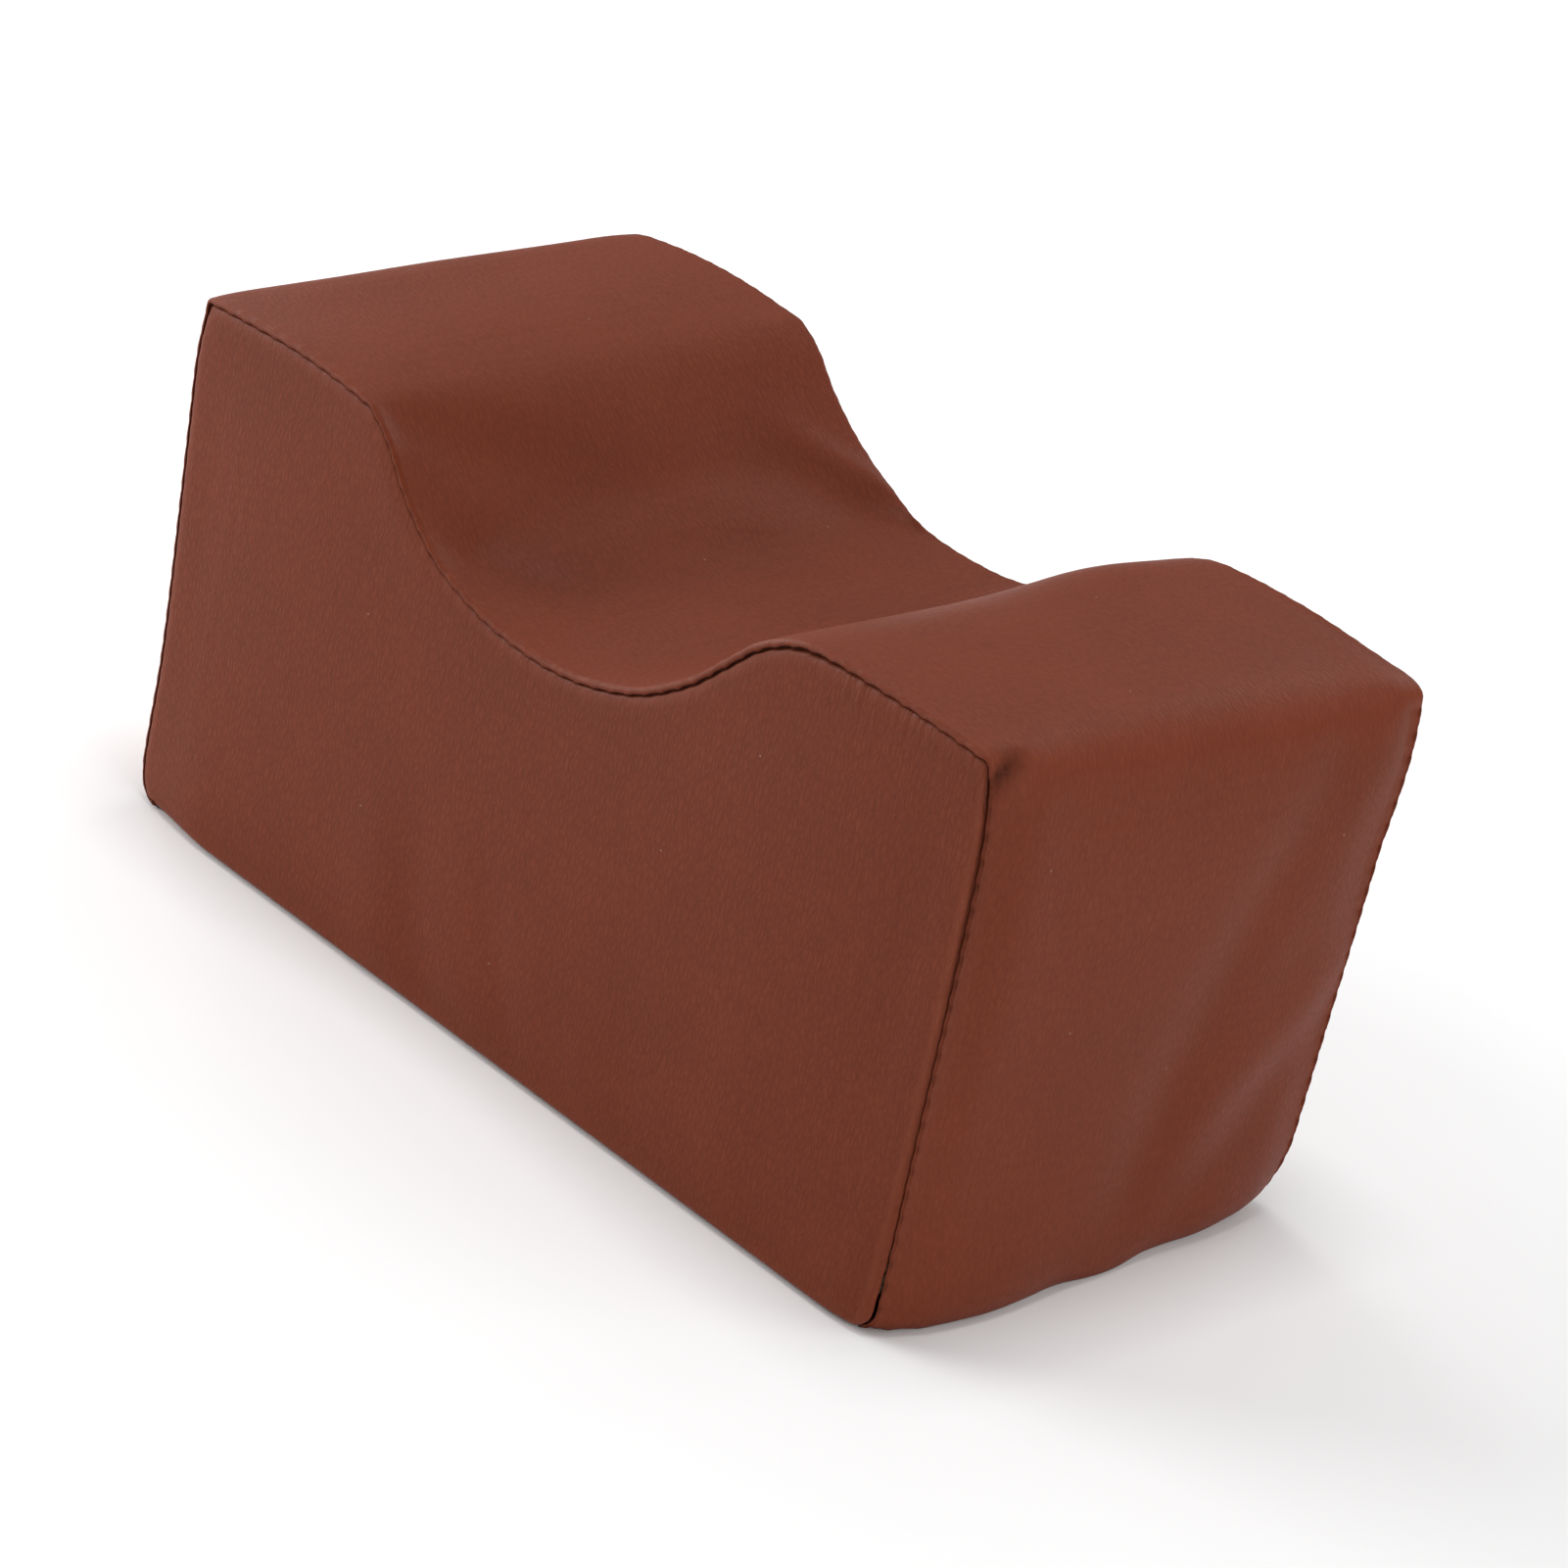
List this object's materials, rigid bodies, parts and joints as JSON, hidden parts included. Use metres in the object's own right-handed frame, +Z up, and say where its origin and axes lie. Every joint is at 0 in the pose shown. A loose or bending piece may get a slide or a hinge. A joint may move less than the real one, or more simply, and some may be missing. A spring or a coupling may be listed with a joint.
{
  "type": "cradle bolster pillow",
  "caption": "Foam bolster pillow with a curved neck cradle across its top, in a sewn leather-look cover with a zip low in the back.",
  "frame": {"origin": "centre of the flat base, on the surface that the bolster stands on", "axes": "+X along the bolster's length, across the neck; +Y towards the back panel with the zip; +Z up"},
  "size_m": [0.24, 0.12, 0.12],
  "materials": {
    "cover": "fine pebbled coated fabric, soft satin sheen",
    "foam": "open-cell upholstery foam",
    "thread": "twisted polyester sewing thread",
    "zip_tape": "woven zip tape",
    "zip_coil": "moulded coil, semi-matt",
    "zip_metal": "antique plated, satin"
  },
  "bodies": {
    "root": {"foam_core": "foam", "top_band": "cover", "front_panel": "cover", "back_panel": "cover", "base_panel": "cover", "front_seam_thread": "thread", "back_seam_thread": "thread", "base_seam_thread": "thread", "zip_seam_thread": "thread", "zip_tape_upper": "zip_tape", "zip_tape_lower": "zip_tape", "zip_coil_upper": "zip_coil", "zip_coil_lower": "zip_coil", "zip_top_stop_upper": "zip_metal", "zip_top_stop_lower": "zip_metal", "zip_bottom_stop": "zip_metal"},
    "slider": {"zip_slider": "zip_metal", "zip_crown": "zip_metal"},
    "pull": {"pull_tab": "zip_metal"}
  },
  "joints": [
    {"name": "zip_slide", "type": "slide", "parent": "root", "child": "slider", "axis": [-1, 0, 0], "range_m": [0, 0.1625]},
    {"name": "pull_swing", "type": "hinge", "parent": "slider", "child": "pull", "pos_m": [0.08575, 0.0583, 0.014], "axis": [0, 0, 1], "range_deg": [-160, 0]}
  ]
}
